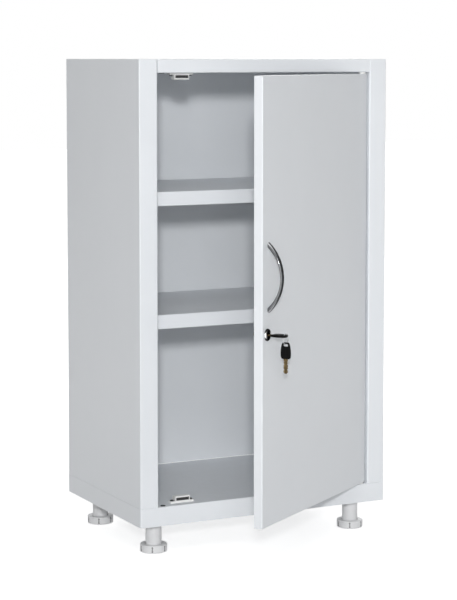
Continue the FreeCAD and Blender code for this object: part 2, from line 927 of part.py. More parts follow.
def on_floor(shape):
    """A catch piece set on the tray floor."""
    return shape.translated(Vector(0, 0, tray_top))


def under_rail(shape):
    """A catch piece turned over and hung under the front rail."""
    return shape.mirror(Vector(0, 0, 0), up).translated(Vector(0, 0, rail_bottom))


# Levelling feet

def foot_places():
    """Name and place of each foot."""
    x = right - foot_inset_x
    y = back - foot_inset_y
    return [
        ("front_left", -x, -y), ("front_right", x, -y), ("rear_left", -x, y), ("rear_right", x, y),
    ]


def recess_floor():
    """Height of the floor inside the foot's cup."""
    return sole_thickness + swivel_gap + cup_web


def leg(x, y):
    """Round leg, hollow between the cap under the plate and the threaded boss at its lower end."""
    low = recess_floor() + leg_lift
    high = base + sheet
    body = rod(leg_radius, x, y, low, high - low)
    hollow = rod(leg_radius - leg_wall, x, y, low + leg_boss, high - low - leg_boss - leg_cap)
    bore = rod(stud_radius + fit, x, y, low, leg_boss)
    bolt_hole = rod(leg_bolt_radius + fit, x, y, high - leg_cap, leg_cap)
    return body.cut([hollow, bore, bolt_hole])


def leg_plate(x, y):
    """Corner plate on the tray's lips that a leg is bolted to."""
    side_x = 1 if x > 0 else -1
    side_y = 1 if y > 0 else -1
    outer_x = side_x * (right - sheet - edge_round)
    outer_y = side_y * (back - sheet - edge_round)
    inner_x = x - side_x * leg_plate_reach
    inner_y = y - side_y * leg_plate_reach
    low = base + sheet
    plate = block(
        min(outer_x, inner_x), max(outer_x, inner_x), min(outer_y, inner_y), max(outer_y, inner_y),
        low, low + leg_plate_thickness,
    )
    return plate.cut(rod(leg_bolt_radius + fit, x, y, low, leg_plate_thickness))


def leg_bolt(x, y):
    """Bolt from above the plate into the cap of the leg."""
    seat = base + sheet + leg_plate_thickness
    head = hexagon(leg_bolt_across_flats, leg_bolt_head_height, Vector(x, y, seat), up)
    length = leg_plate_thickness + leg_cap
    return joined(head, rod(leg_bolt_radius, x, y, seat - length, length))


def grip_slot(x, y, turn):
    """Upright slot in the wall of the cup, wider at both ends."""
    low = cup_bottom + grip_margin
    high = cup_top - grip_margin
    near = cup_radius - grip_depth
    groove = block(near, cup_radius + grip_depth, -grip_width / 2, grip_width / 2, low, high)
    ends = [
        rod(grip_end_radius, near, 0, z, 2 * grip_depth, rightward)
        for z in (low + grip_end_radius, high - grip_end_radius)
    ]
    slot = groove.fuse(ends)
    slot.rotate(Vector(0, 0, 0), up, turn)
    return slot.translated(Vector(x, y, 0))


def foot_cup(x, y):
    """Foot cup: a flat-topped knob bored for the leg's end, gripped by upright slots, with the sole's
    recess below."""
    body = rod(cup_radius, x, y, cup_bottom, cup_top - cup_bottom)
    body = fillet_where(body, cup_round, lambda middle, edge: same(edge.Length, 2 * math.pi * cup_radius))
    socket = rod(leg_radius + cup_play, x, y, recess_floor(), cup_top - recess_floor())
    under = rod(sole_radius + swivel_side_gap, x, y, cup_bottom, sole_thickness + swivel_gap - cup_bottom)
    hole = rod(stud_radius + fit, x, y, sole_thickness, cup_web + 2 * swivel_gap)
    slots = [grip_slot(x, y, full_turn * index / slot_count) for index in range(slot_count)]
    return body.cut([socket, under, hole] + slots)


def foot_stud(x, y):
    """Threaded stud of the foot, drawn at its outside size, with a chamfered top."""
    stud = rod(stud_radius, x, y, sole_thickness + swivel_gap, stud_length)
    high = sole_thickness + swivel_gap + stud_length
    edges = [
        edge for edge in stud.Edges
        if same(edge.CenterOfMass.z, high) and same(edge.Length, 2 * math.pi * stud_radius)
    ]
    return stud.makeChamfer(stud_chamfer, edges)


def foot_sole(x, y):
    """Round sole that stands on the floor while the cup turns on it."""
    sole = rod(sole_radius, x, y, 0, sole_thickness)
    return fillet_where(
        sole, sole_round,
        lambda middle, edge: same(middle.z, 0) and same(edge.Length, 2 * math.pi * sole_radius),
    )


# Build every node

os.makedirs("parts", exist_ok=True)

side = left_side_panel()
save("left_side_panel", side)
save("right_side_panel", flipped(side))
save("top_panel", top_panel())
save("bottom_tray", bottom_tray())
save("back_panel", back_panel())
save("back_rivets", *back_rivets())
save("base_bolts", *base_bolts())
save("base_nuts", *base_nuts())

save("upper_shelf", shelf(upper_shelf_height))
save("lower_shelf", shelf(lower_shelf_height))
save("upper_shelf_brackets", *shelf_brackets(upper_shelf_height))
save("lower_shelf_brackets", *shelf_brackets(lower_shelf_height))

save("door_shell", opened(door_shell()))
save("door_inner_panel", opened(door_inner_panel()))
save("door_stiffener", opened(door_stiffener()))
save("upper_pivot_pin", pivot_pin(False))
save("lower_pivot_pin", pivot_pin(True))
save("hole_plugs", hole_plug(False), hole_plug(True))
save("upper_pivot_bush", opened(pivot_bush(False)))
save("lower_pivot_bush", opened(pivot_bush(True)))
save("door_handle", opened(door_handle()))
save("handle_screws", *[opened(screw) for screw in handle_screws()])

save("lock_housing", opened(lock_housing()))
save("lock_nut", opened(lock_nut()))
save("lock_plug", opened(lock_plug()))
save("lock_cam", opened(lock_cam()))
save("cam_screw", opened(cam_screw()))
save("key_blade", opened(inserted(flat_blade())))
save("key_bow", opened(inserted(flat_bow())))
save("key_ring", opened(key_ring()))
save("spare_key_blade", opened(hanging(flat_blade())))
save("spare_key_bow", opened(hanging(flat_bow())))

catch_housing, catch_magnet, catch_poles = standing_catch()
catch_fasteners = standing_catch_screws()
save("upper_catch_housing", under_rail(catch_housing))
save("upper_catch_magnet", under_rail(catch_magnet))
save("upper_catch_poles", *[under_rail(pole) for pole in catch_poles])
save("lower_catch_housing", on_floor(catch_housing))
save("lower_catch_magnet", on_floor(catch_magnet))
save("lower_catch_poles", *[on_floor(pole) for pole in catch_poles])
save(
    "catch_screws",
    *[under_rail(screw) for screw in catch_fasteners],
    *[on_floor(screw) for screw in catch_fasteners],
)

for name, x, y in foot_places():
    save(name + "_leg", leg(x, y))
    save(name + "_foot_stud", foot_stud(x, y))
    save(name + "_foot_cup", foot_cup(x, y))
    save(name + "_foot_sole", foot_sole(x, y))
save("leg_plates", *[leg_plate(x, y) for name, x, y in foot_places()])
save("leg_bolts", *[leg_bolt(x, y) for name, x, y in foot_places()])

# Places of the pivots and of the gap behind the handle
turned = opened(Part.Vertex(Vector(lock_x, lock_face, lock_z)))
strip = opened(Part.Vertex(Vector(lock_x + held_strip(), lock_face - ring_plane(), lock_z)))
wire = opened(Part.Vertex(
    Vector(lock_x + held_strip(), lock_face - ring_plane(), lock_z - ring_drop() - ring_radius)
))
finger = opened(Part.Vertex(Vector(handle_x, front - (handle_reach - handle_thickness) / 2, handle_z)))
print("pivot", pivot_x, pivot_y)
for label, vertex in (("lock", turned), ("ring", strip), ("spare", wire), ("finger gap", finger)):
    print(label, [round(value, 3) for value in (vertex.X, vertex.Y, vertex.Z)])
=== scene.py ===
import json
import math

import bpy
import numpy as np
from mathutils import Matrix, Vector


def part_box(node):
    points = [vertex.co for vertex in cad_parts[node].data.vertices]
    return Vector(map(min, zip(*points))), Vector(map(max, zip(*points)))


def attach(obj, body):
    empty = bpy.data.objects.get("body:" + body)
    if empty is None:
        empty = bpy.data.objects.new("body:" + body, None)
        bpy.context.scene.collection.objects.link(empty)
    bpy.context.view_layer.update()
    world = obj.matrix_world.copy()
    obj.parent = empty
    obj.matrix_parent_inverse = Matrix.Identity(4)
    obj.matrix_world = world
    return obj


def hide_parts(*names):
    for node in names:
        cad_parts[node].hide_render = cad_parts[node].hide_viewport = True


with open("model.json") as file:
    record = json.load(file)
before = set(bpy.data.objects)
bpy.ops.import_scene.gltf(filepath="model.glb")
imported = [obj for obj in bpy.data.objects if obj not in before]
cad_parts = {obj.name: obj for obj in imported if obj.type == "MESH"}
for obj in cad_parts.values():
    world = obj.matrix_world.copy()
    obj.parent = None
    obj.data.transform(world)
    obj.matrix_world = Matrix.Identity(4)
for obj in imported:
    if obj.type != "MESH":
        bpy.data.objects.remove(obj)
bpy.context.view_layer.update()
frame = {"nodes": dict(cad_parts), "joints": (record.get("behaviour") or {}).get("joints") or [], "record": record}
cad = frame["nodes"]
joints = {joint["name"]: joint for joint in frame["joints"]}

# Metres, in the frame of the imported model: X to the right, Y to the back, Z up, the floor at Z = 0.

# Photograph and camera
photo_height = 600
sensor_size = 36.0
focal_pixels = 1941.3
camera_place = Vector((-1.6343, -3.2423, 0.8867))
camera_yaw = math.radians(26.871)
camera_pitch = math.radians(4.699)
camera_shift = -0.14

# Light
ambient_level = 0.165
flash_light = 78.0
flash_light_size = 0.25
flash_light_place = Vector((-2.03, -4.03, 1.46))
soft_light = 45.0
soft_light_size = 2.2
soft_light_place = Vector((-1.9, -4.2, 0.75))
top_light = 21.0
top_light_size = 1.8
top_light_place = Vector((-1.3, -2.5, 3.0))
back_light = 60.0
back_light_size = 2.0
back_light_place = Vector((2.4, 2.9, 2.3))
aim_height = 0.45

# Floor
floor_reach = 14.0
floor_colour = (0.80, 0.80, 0.80, 1.0)
floor_glow = 0.68
shadow_reach = 0.7
shadow_fade = 1.6

# Directions of the open door
up = np.array([0.0, 0.0, 1.0])
inward = np.array(joints["lock_turn"]["axis"], float)
outward = -inward
hinge_way = np.array([inward[1], -inward[0], 0.0])

# Sizes that the pieces made here share with the part
handle_foot = 0.010
handle_thickness = 0.0042
barrel_radius = 0.009
plug_bore = 0.00625
cam_screw_head = 0.0025
cam_screw_shank = 0.002
slot_half_width = 0.0043
slot_half_length = 0.00215
slot_from_tip = 0.0026
blade_tang = 0.012
blade_tip = 0.0025
catch_screw_head = 0.0020
catch_screw_shank = 0.0016
base_bolt_head = 0.0022
base_bolt_shank = 0.0025
base_nut_bore = 0.00255
leg_bolt_head = 0.005
leg_bolt_shank = 0.004
rivet_head = 0.0012
rivet_shank = 0.0016
rivet_tail = 0.0024
rivet_grip = 0.002
stud_collar = 0.004
stud_chamfer = 0.00125

# Fine shapes that only the pieces made here have
stud_pitch = 0.0015
stud_thread_depth = 0.00075
barrel_pitch = 0.001
barrel_thread_depth = 0.0004
bolt_pitch = 0.0008
bolt_thread_depth = 0.0004
screw_pitch = 0.0007
screw_thread_depth = 0.00028
handle_steps = 96
section_steps = 40
handle_squareness = 2.6
bezel_land = 0.0021
bezel_round = 0.0026
bezel_groove = 0.00025
washer_height = 0.0007
cam_tongue = 0.0052
ring_flat_share = 0.46
ring_steps = 220
ring_opening = 0.06
bow_swell = 0.0009
bow_clearance = 0.0002
bow_tip_share = 0.684
notch_depths = (0.0012, 0.0017, 0.0009, 0.0015)
groove_depth = 0.0006
groove_width = 0.0016
groove_offset = 0.0013
recess_half_width = 0.00055
recess_softness = 0.00018
recess_depth = 0.0010
small_step = 0.0006
hex_cone_share = 0.97
hex_cone_slope = math.radians(30)
thread_steepness = 1.5
thread_land = 0.25
head_middle_share = 0.04
recess_length_share = 0.62
head_rim_height = 0.5
head_rim_radius = 0.98
cam_head_share = 0.72
washer_top_share = 0.97
washer_side_share = 0.6
rivet_rim_step = 0.0001
cam_squareness = 8.0
bow_squareness = 6.0
bow_slot_squareness = 3.2
bow_section_squareness = 4.5
bow_widest_share = 0.68
bow_narrowing = 0.10
bow_crown_power = 3
blade_squareness = 7.0
notch_slope = 0.9
groove_steepness = 1.5
wire_squareness = 3.5
ring_step_sharpness = 2.2

# Finish: shares of dust, rubbing and wear, and depths of the fine relief
coat_pimples = 620.0
coat_waves = 6.0
coat_wave_share = 2.2
coat_edge = 0.0012
coat_dust = 0.10
coat_rubbing = 0.25
coat_wear = 0.22
coat_smear = 0.05
coat_relief = 0.00004
metal_lines = 1100.0
metal_edge = 0.0004
metal_rubbing = 0.4
metal_lift = 1.15
metal_relief = 0.00001
polish_lines = 0.06
polish_wear = 0.2
polish_relief = 0.000006
plastic_waves = 60.0
plastic_wave_share = 0.6
plastic_edge = 0.0006
plastic_dust = 0.12
plastic_rubbing = 0.5
# share of the near-black painted shade laid into slots and inner corners of plastics
plastic_crevice_shade = 0.92
plastic_relief = 0.00003


# Measures taken from the frame

def corners_along(node, direction):
    """Lowest and highest reach of a CAD node along a direction, from all its points at once."""
    mesh = cad[node].data
    points = np.empty(len(mesh.vertices) * 3, np.float32)
    mesh.vertices.foreach_get("co", points)
    reach = points.reshape(-1, 3).astype(float) @ direction
    return reach.min(), reach.max()


def islands(node):
    """Middle and half size of each separate solid in a CAD node, found by merging equal points."""
    mesh = cad[node].data
    points = np.empty(len(mesh.vertices) * 3, np.float32)
    mesh.vertices.foreach_get("co", points)
    points = points.reshape(-1, 3).astype(float)
    triangles = np.empty(len(mesh.loops), np.int32)
    mesh.loops.foreach_get("vertex_index", triangles)
    grid = np.round(points * 1e5).astype(np.int64)
    merged, owner = np.unique(grid, axis=0, return_inverse=True)
    owner = owner.reshape(-1)
    triangles = owner[triangles.reshape(-1, 3)]
    label = np.arange(len(merged))
    while True:
        lowest = label[triangles].min(axis=1)
        fresh = label.copy()
        np.minimum.at(fresh, triangles.ravel(), np.repeat(lowest, 3))
        fresh = fresh[fresh]
        if np.array_equal(fresh, label):
            break
        label = fresh
    found = []
    for name in np.unique(label[triangles]):
        own = points[label[owner] == name]
        found.append(((own.min(0) + own.max(0)) / 2, (own.max(0) - own.min(0)) / 2))
    return found


# Surfaces

def quads(rows, columns, wrap_rows=False, wrap_columns=True):
    """Four-cornered faces of a grid of points; a wrapped way closes on itself."""
    row = np.arange(rows if wrap_rows else rows - 1)
    column = np.arange(columns if wrap_columns else columns - 1)
    row, column = np.meshgrid(row, column, indexing="ij")
    next_row = (row + 1) % rows
    next_column = (column + 1) % columns
    faces = np.stack([
        row * columns + column, row * columns + next_column,
        next_row * columns + next_column, next_row * columns + column,
    ], axis=-1)
    return faces.reshape(-1, 4).tolist()


def tube(points, wrap_rows=False):
    """Closed skin from a grid of points: rows along a path, columns round it, flat caps at open ends."""
    rows, columns = points.shape[:2]
    faces = quads(rows, columns, wrap_rows)
    if not wrap_rows:
        faces.append(list(range(columns)))
        faces.append(list(range((rows - 1) * columns, rows * columns))[::-1])
    return points.reshape(-1, 3), faces


def turned_outwards(points, faces):
    """The same closed skin with its faces pointing out, told by the sign of its volume."""
    total = 0.0
    for size in sorted({len(face) for face in faces}):
        chosen = np.array([face for face in faces if len(face) == size])
        first = points[chosen[:, 0]]
        for step in range(1, size - 1):
            second = points[chosen[:, step]]
            third = points[chosen[:, step + 1]]
            total += np.einsum("ij,ij->i", first, np.cross(second, third)).sum()
    if total < 0:
        faces = [face[::-1] for face in faces]
    return points, faces


def placed(shape, origin, across, along, above):
    """A shape moved so that its own X, Y and Z run across, along and above from an origin."""
    points, faces = shape
    axes = np.array([across, along, above], float)
    return points @ axes + np.asarray(origin, float), faces


def together(shapes):
    """Several shapes as one list of points and faces."""
    points = []
    faces = []
    count = 0
    for some_points, some_faces in shapes:
        points.append(some_points)
        faces += [[index + count for index in face] for face in some_faces]
        count += len(some_points)
    return np.concatenate(points), faces


def piece(name, shapes, body, slot, material, *replaced, sharp=math.radians(35)):
    """Mesh object of outward skins, smooth except at sharp edges, that stands for CAD nodes on a body."""
    points, faces = together([turned_outwards(*shape) for shape in shapes])
    mesh = bpy.data.meshes.new(name)
    mesh.from_pydata(points.tolist(), [], faces)
    mesh.update()
    mesh.polygons.foreach_set("use_smooth", np.ones(len(mesh.polygons), bool))
    mesh.set_sharp_from_angle(angle=sharp)
    mesh.materials.append(material)
    made = bpy.data.objects.new(name, mesh)
    bpy.context.scene.collection.objects.link(made)
    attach(made, body)
    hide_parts(*replaced)
    return made


def turned(profile, segments=64):
    """Surface of revolution about Z: each profile point is a radius and a height, turned full circle."""
    profile = np.array(profile, float)
    angle = np.linspace(0, 2 * np.pi, segments, endpoint=False)
    radius = profile[:, 0][:, None]
    height = np.broadcast_to(profile[:, 1][:, None], (len(profile), segments))
    return np.stack([radius * np.cos(angle), radius * np.sin(angle), height], axis=-1)


def squared_off(wave, squareness):
    """A sine or cosine pushed towards its ends, so that a circle becomes a squared-off oval."""
    return np.sign(wave) * np.abs(wave) ** (2 / squareness)


def arc(centre, radius, start, finish, steps=8):
    """Points of a circular arc in a profile, from one angle to another in degrees."""
    angle = np.radians(np.linspace(start, finish, steps))
    return [(centre[0] + radius * np.cos(a), centre[1] + radius * np.sin(a)) for a in angle]


def quarter_round(radius, inset, drop, steps=11):
    """Points of a rounded rim in a profile: a quarter ellipse from its flat face out to its side."""
    angle = np.linspace(0, np.pi / 2, steps)
    return [(radius - inset * (1 - np.sin(a)), drop * (1 - np.cos(a))) for a in angle]


def thread(radius, depth, pitch, low, high, segments=48, steps_per_turn=10):
    """Screw thread about Z: the radius dips by a triangle wave of height over pitch less the turn,
    and the wave fades out over one pitch at both ends."""
    rows = int((high - low) / pitch * steps_per_turn) + 1
    height = np.linspace(low, high, rows)[:, None]
    angle = np.linspace(0, 2 * np.pi, segments, endpoint=False)[None, :]
    phase = (height / pitch - angle / (2 * np.pi)) % 1.0
    wave = np.clip(thread_steepness * np.abs(2 * phase - 1) - thread_land, 0, 1)
    fade = np.clip(np.minimum(height - low, high - height) / pitch, 0, 1)
    around = radius - depth * (1 - wave * fade)
    return np.stack([around * np.cos(angle), around * np.sin(angle), height + 0 * angle], axis=-1)


def hex_head(across_flats, height, segments=96):
    """Hexagonal prism on Z = 0 whose corners are cut by a cone at the top: the side's radius is half the
    flats over the cosine of the angle from the nearest flat."""
    flat = across_flats / 2
    angle = np.linspace(0, 2 * np.pi, segments, endpoint=False)
    from_flat = (angle + np.pi / 6) % (np.pi / 3) - np.pi / 6
    side = flat / np.cos(from_flat)
    top = flat * hex_cone_share
    shoulder = height - (side - top) * math.tan(hex_cone_slope)
    rows = [
        (side, np.zeros(segments)),
        (side, shoulder),
        (np.full(segments, top), np.full(segments, height)),
    ]
    grid = [np.stack([r * np.cos(angle), r * np.sin(angle), z], axis=-1) for r, z in rows]
    return np.array(grid)


def cross_head(radius, height, dome, depth, segments=56, rings=26):
    """Round screw head on Z = 0 with a cross recess: height falls from the middle with the square of the
    radius, less the recess depth inside two crossed bars."""
    share = np.linspace(head_middle_share, 1, rings)[:, None]
    angle = np.linspace(0, 2 * np.pi, segments, endpoint=False)[None, :]
    x = share * radius * np.cos(angle)
    y = share * radius * np.sin(angle)
    bar_length = radius * recess_length_share

    def bar(a, b):
        narrow = np.clip((recess_half_width - np.abs(a)) / recess_softness + 0.5, 0, 1)
        short = np.clip((bar_length - np.abs(b)) / recess_softness + 0.5, 0, 1)
        return narrow * short

    recess = np.maximum(bar(x, y), bar(y, x))
    z = height - dome * share ** 2 - depth * recess
    top = np.stack([x, y, z], axis=-1)
    side = (height - dome) * head_rim_height
    rim = turned([(radius, side), (radius * head_rim_radius, 0.0)], segments)
    return np.concatenate([top, rim])


# Shader groups

def add_node(tree, kind, inputs=None, **settings):
    """Add a shader node, set its properties, and set or link its inputs by name or number."""
    made = tree.nodes.new(kind)
    for name, value in settings.items():
        setattr(made, name, value)
    for name, value in (inputs or {}).items():
        if isinstance(value, bpy.types.NodeSocket):
            tree.links.new(value, made.inputs[name])
        else:
            made.inputs[name].default_value = value
    return made


def math_node(tree, operation, first, second=0.0, clamp=False):
    """Result of one arithmetic step on two sockets or numbers."""
    made = add_node(tree, "ShaderNodeMath", {0: first, 1: second}, operation=operation, use_clamp=clamp)
    return made.outputs[0]


def remap(tree, value, low, high, out_low, out_high):
    """A value carried from one range to another, held at the ends."""
    made = add_node(tree, "ShaderNodeMapRange", {
        "Value": value, "From Min": low, "From Max": high, "To Min": out_low, "To Max": out_high,
    })
    return made.outputs["Result"]


def noise(tree, vector, scale, detail=3.0, roughness=0.5):
    """Grey value of a noise texture."""
    made = add_node(tree, "ShaderNodeTexNoise", {
        "Vector": vector, "Scale": scale, "Detail": detail, "Roughness": roughness,
    })
    return made.outputs[0]


def mixed(tree, factor, first, second):
    """Colour mixed from two by a factor."""
    made = add_node(tree, "ShaderNodeMix", data_type="RGBA")
    for number, value in ((0, factor), (6, first), (7, second)):
        if isinstance(value, bpy.types.NodeSocket):
            tree.links.new(value, made.inputs[number])
        else:
            made.inputs[number].default_value = value
    return made.outputs[2]


def tinted(tree, colour, mask, share, tint):
    """A colour with a tint laid over it by a share of a mask."""
    return mixed(tree, math_node(tree, "MULTIPLY", mask, share), colour, tint)


def new_group(name, inputs, outputs):
    """Empty shader group with named sockets; returns its tree, inputs and outputs."""
    tree = bpy.data.node_groups.new(name, "ShaderNodeTree")
    for label, kind, value in inputs:
        socket = tree.interface.new_socket(label, in_out="INPUT", socket_type=kind)
        if value is not None:
            socket.default_value = value
    for label, kind in outputs:
        tree.interface.new_socket(label, in_out="OUTPUT", socket_type=kind)
    entry = tree.nodes.new("NodeGroupInput")
    finish = tree.nodes.new("NodeGroupOutput")
    return tree, entry.outputs, finish.inputs


VECTOR = "NodeSocketVector"
FLOAT = "NodeSocketFloat"


def peel_group():
    """Skin of a sprayed or moulded surface: fine pimples over long waves, as a height and a cloudy tone."""
    tree, given, put = new_group(
        "sprayed_skin",
        [
            ("Vector", VECTOR, None), ("Pimples", FLOAT, 700.0),
            ("Waves", FLOAT, 7.0), ("Wave Share", FLOAT, 0.5),
        ],
        [("Height", FLOAT), ("Tone", FLOAT)],
    )
    pimples = noise(tree, given["Vector"], given["Pimples"], 1.5)
    waves = noise(tree, given["Vector"], given["Waves"], 1.0)
    wave_part = math_node(tree, "MULTIPLY", waves, given["Wave Share"])
    tree.links.new(math_node(tree, "ADD", pimples, wave_part), put["Height"])
    cloud = noise(tree, given["Vector"], 11.0, 4.0, 0.6)
    tree.links.new(remap(tree, cloud, 0.3, 0.7, 0.0, 1.0), put["Tone"])
    return tree


def edge_group():
    """Worn edges: where a rounded-off normal departs from the true one, broken up by noise."""
    tree, given, put = new_group(
        "worn_edges",
        [("Vector", VECTOR, None), ("Radius", FLOAT, 0.001), ("Break Up", FLOAT, 240.0)],
        [("Edge", FLOAT), ("Wear", FLOAT)],
    )
    rounded = add_node(tree, "ShaderNodeBevel", {"Radius": given["Radius"]}, samples=4)
    true = add_node(tree, "ShaderNodeNewGeometry").outputs["Normal"]
    likeness = add_node(
        tree, "ShaderNodeVectorMath", {0: rounded.outputs[0], 1: true}, operation="DOT_PRODUCT"
    ).outputs["Value"]
    edge = remap(tree, likeness, 0.985, 0.80, 0.0, 1.0)
    tree.links.new(edge, put["Edge"])
    speck = noise(tree, given["Vector"], given["Break Up"], 4.0, 0.65)
    broken = remap(tree, speck, 0.55, 0.68, 0.0, 1.0)
    tree.links.new(math_node(tree, "MULTIPLY", edge, broken), put["Wear"])
    return tree


def dust_group():
    """Dust and touch marks: dust lies on faces that look up, smears lie anywhere in broad patches."""
    tree, given, put = new_group(
        "dust_and_smears", [("Vector", VECTOR, None)], [("Dust", FLOAT), ("Smear", FLOAT)]
    )
    true = add_node(tree, "ShaderNodeNewGeometry").outputs["Normal"]
    upward = add_node(tree, "ShaderNodeSeparateXYZ", {0: true}).outputs["Z"]
    facing = remap(tree, upward, 0.6, 1.0, 0.0, 1.0)
    specks = remap(tree, noise(tree, given["Vector"], 60.0, 6.0, 0.7), 0.42, 0.75, 0.0, 1.0)
    tree.links.new(math_node(tree, "MULTIPLY", facing, specks), put["Dust"])
    smear = remap(tree, noise(tree, given["Vector"], 18.0, 5.0, 0.62), 0.5, 0.75, 0.0, 1.0)
    tree.links.new(smear, put["Smear"])
    return tree


def brushed_group():
    """Fine drawn lines: noise stretched along one axis, as a height and a tone."""
    tree, given, put = new_group(
        "drawn_lines",
        [("Vector", VECTOR, None), ("Stretch", VECTOR, (1.0, 1.0, 1.0)), ("Scale", FLOAT, 900.0)],
        [("Height", FLOAT), ("Tone", FLOAT)],
    )
    long = add_node(
        tree, "ShaderNodeVectorMath", {0: given["Vector"], 1: given["Stretch"]}, operation="MULTIPLY"
    ).outputs["Vector"]
    lines = noise(tree, long, given["Scale"], 3.0, 0.6)
    tree.links.new(lines, put["Height"])
    tree.links.new(remap(tree, lines, 0.35, 0.65, 0.0, 1.0), put["Tone"])
    return tree


def painted_crevice_shade_group():
    """Painted shade in slots and inner corners: darker where a piece hides a point from its own near surroundings.
    """
    tree, given, put = new_group(
        "painted_crevice_shade", [("Vector", VECTOR, None), ("Reach", FLOAT, 0.003)], [("Painted Shade", FLOAT)]
    )
    hidden = add_node(
        tree, "ShaderNodeAmbientOcclusion", {"Distance": given["Reach"]}, samples=8, only_local=True
    )
    deep = remap(tree, hidden.outputs["AO"], 0.80, 0.42, 0.0, 1.0)
    speck = remap(tree, noise(tree, given["Vector"], 320.0, 3.0), 0.3, 0.6, 0.75, 1.0)
    tree.links.new(math_node(tree, "MULTIPLY", deep, speck), put["Painted Shade"])
    return tree


skin_tree = peel_group()
edge_tree = edge_group()
painted_crevice_shade_tree = painted_crevice_shade_group()
dust_tree = dust_group()
brushed_tree = brushed_group()


# Materials

def new_material(name, **constants):
    """Material with a Principled shader whose constants are set by name; returns tree, shader and place."""
    material = bpy.data.materials.new(name)
    material.use_nodes = True
    tree = material.node_tree
    shader = tree.nodes["Principled BSDF"]
    for label, value in constants.items():
        shader.inputs[label.replace("_", " ")].default_value = value
    place = add_node(tree, "ShaderNodeTexCoord").outputs["Object"]
    return material, tree, shader, place


def use_group(tree, group, inputs):
    """A shader group placed in a material with its own values."""
    made = tree.nodes.new("ShaderNodeGroup")
    made.node_tree = group
    for name, value in inputs.items():
        if isinstance(value, bpy.types.NodeSocket):
            tree.links.new(value, made.inputs[name])
        else:
            made.inputs[name].default_value = value
    return made.outputs


def bump(tree, shader, height, strength, distance):
    """Link a height to the shader's normal through a bump of a real depth in metres."""
    made = add_node(tree, "ShaderNodeBump", {"Height": height, "Strength": strength, "Distance": distance})
    tree.links.new(made.outputs["Normal"], shader.inputs["Normal"])


def powder_coat():
    """White powder coat on folded sheet: fine pimples, long waves, faint dust, touch marks and
    edge wear."""
    material, tree, shader, place = new_material("white_powder_coat", Specular_IOR_Level=0.5)
    skin = use_group(tree, skin_tree, {
        "Vector": place, "Pimples": coat_pimples, "Waves": coat_waves, "Wave Share": coat_wave_share,
    })
    edge = use_group(tree, edge_tree, {"Vector": place, "Radius": coat_edge})
    dirt = use_group(tree, dust_tree, {"Vector": place})
    clean = mixed(tree, skin["Tone"], (0.798, 0.825, 0.856, 1), (0.816, 0.841, 0.870, 1))
    dusty = tinted(tree, clean, dirt["Dust"], coat_dust, (0.62, 0.60, 0.56, 1))
    rubbed = tinted(tree, dusty, edge["Edge"], coat_rubbing, (0.86, 0.87, 0.88, 1))
    worn = tinted(tree, rubbed, edge["Wear"], coat_wear, (0.48, 0.49, 0.50, 1))
    tree.links.new(worn, shader.inputs["Base Color"])
    gloss = remap(tree, skin["Tone"], 0.0, 1.0, 0.36, 0.44)
    smeared = math_node(tree, "MULTIPLY", dirt["Smear"], coat_smear)
    tree.links.new(math_node(tree, "ADD", gloss, smeared), shader.inputs["Roughness"])
    bump(tree, shader, skin["Height"], 0.35, coat_relief)
    return material


def plated(name, dark, light, rough_low, rough_high, stretch):
    """Plated metal: drawn lines in tone and roughness, and brighter rubbed edges."""
    material, tree, shader, place = new_material(name, Metallic=1.0)
    lines = use_group(tree, brushed_tree, {"Vector": place, "Stretch": stretch, "Scale": metal_lines})
    edge = use_group(tree, edge_tree, {"Vector": place, "Radius": metal_edge})
    toned = mixed(tree, lines["Tone"], dark, light)
    bright = tuple(min(1.0, value * metal_lift) for value in light[:3]) + (1.0,)
    rubbed = tinted(tree, toned, edge["Edge"], metal_rubbing, bright)
    tree.links.new(rubbed, shader.inputs["Base Color"])
    tree.links.new(remap(tree, lines["Tone"], 0.0, 1.0, rough_low, rough_high), shader.inputs["Roughness"])
    bump(tree, shader, lines["Height"], 0.15, metal_relief)
    return material


def polished_with_painted_reflections(name, dark, bright, side_glint, end_glint, rim_tint):
    """Polished plating with painted reflections: a dark tone painted for reflected dark surroundings, and by
    shares a bright one painted as reflected light where it faces the left upright and where it slopes up or down
    without facing the right; faint drawn lines and rubbed edges."""
    material, tree, shader, place = new_material(name, Metallic=1.0, Specular_Tint=rim_tint)
    lines = use_group(tree, brushed_tree, {
        "Vector": place, "Stretch": (1.0, 1.0, 0.2), "Scale": metal_lines,
    })
    edge = use_group(tree, edge_tree, {"Vector": place, "Radius": metal_edge})
    true = add_node(tree, "ShaderNodeNewGeometry").outputs["Normal"]
    look = add_node(tree, "ShaderNodeSeparateXYZ", {0: true}).outputs
    # painted reflections: the tone turns bright where the normal faces left or slopes up or down, dark elsewhere
    tilt = math_node(tree, "ABSOLUTE", look["Z"])
    painted_end_reflection = remap(tree, tilt, 0.38, 0.60, 0.0, end_glint)
    ends = math_node(tree, "MULTIPLY", painted_end_reflection, remap(tree, look["X"], 0.10, 0.28, 1.0, 0.0))
    painted_side_reflection = remap(tree, look["X"], 0.35, -0.15, 0.0, side_glint)
    sides = math_node(tree, "MULTIPLY", painted_side_reflection, remap(tree, tilt, 0.25, 0.50, 1.0, 0.0))
    toned = mixed(tree, math_node(tree, "MAXIMUM", ends, sides), dark, bright)
    faint = tinted(tree, toned, lines["Tone"], polish_lines, (0.9, 0.9, 0.9, 1))
    rubbed = tinted(tree, faint, edge["Wear"], polish_wear, (0.75, 0.75, 0.75, 1))
    tree.links.new(rubbed, shader.inputs["Base Color"])
    tree.links.new(remap(tree, lines["Tone"], 0.0, 1.0, 0.08, 0.14), shader.inputs["Roughness"])
    bump(tree, shader, lines["Height"], 0.1, polish_relief)
    return material


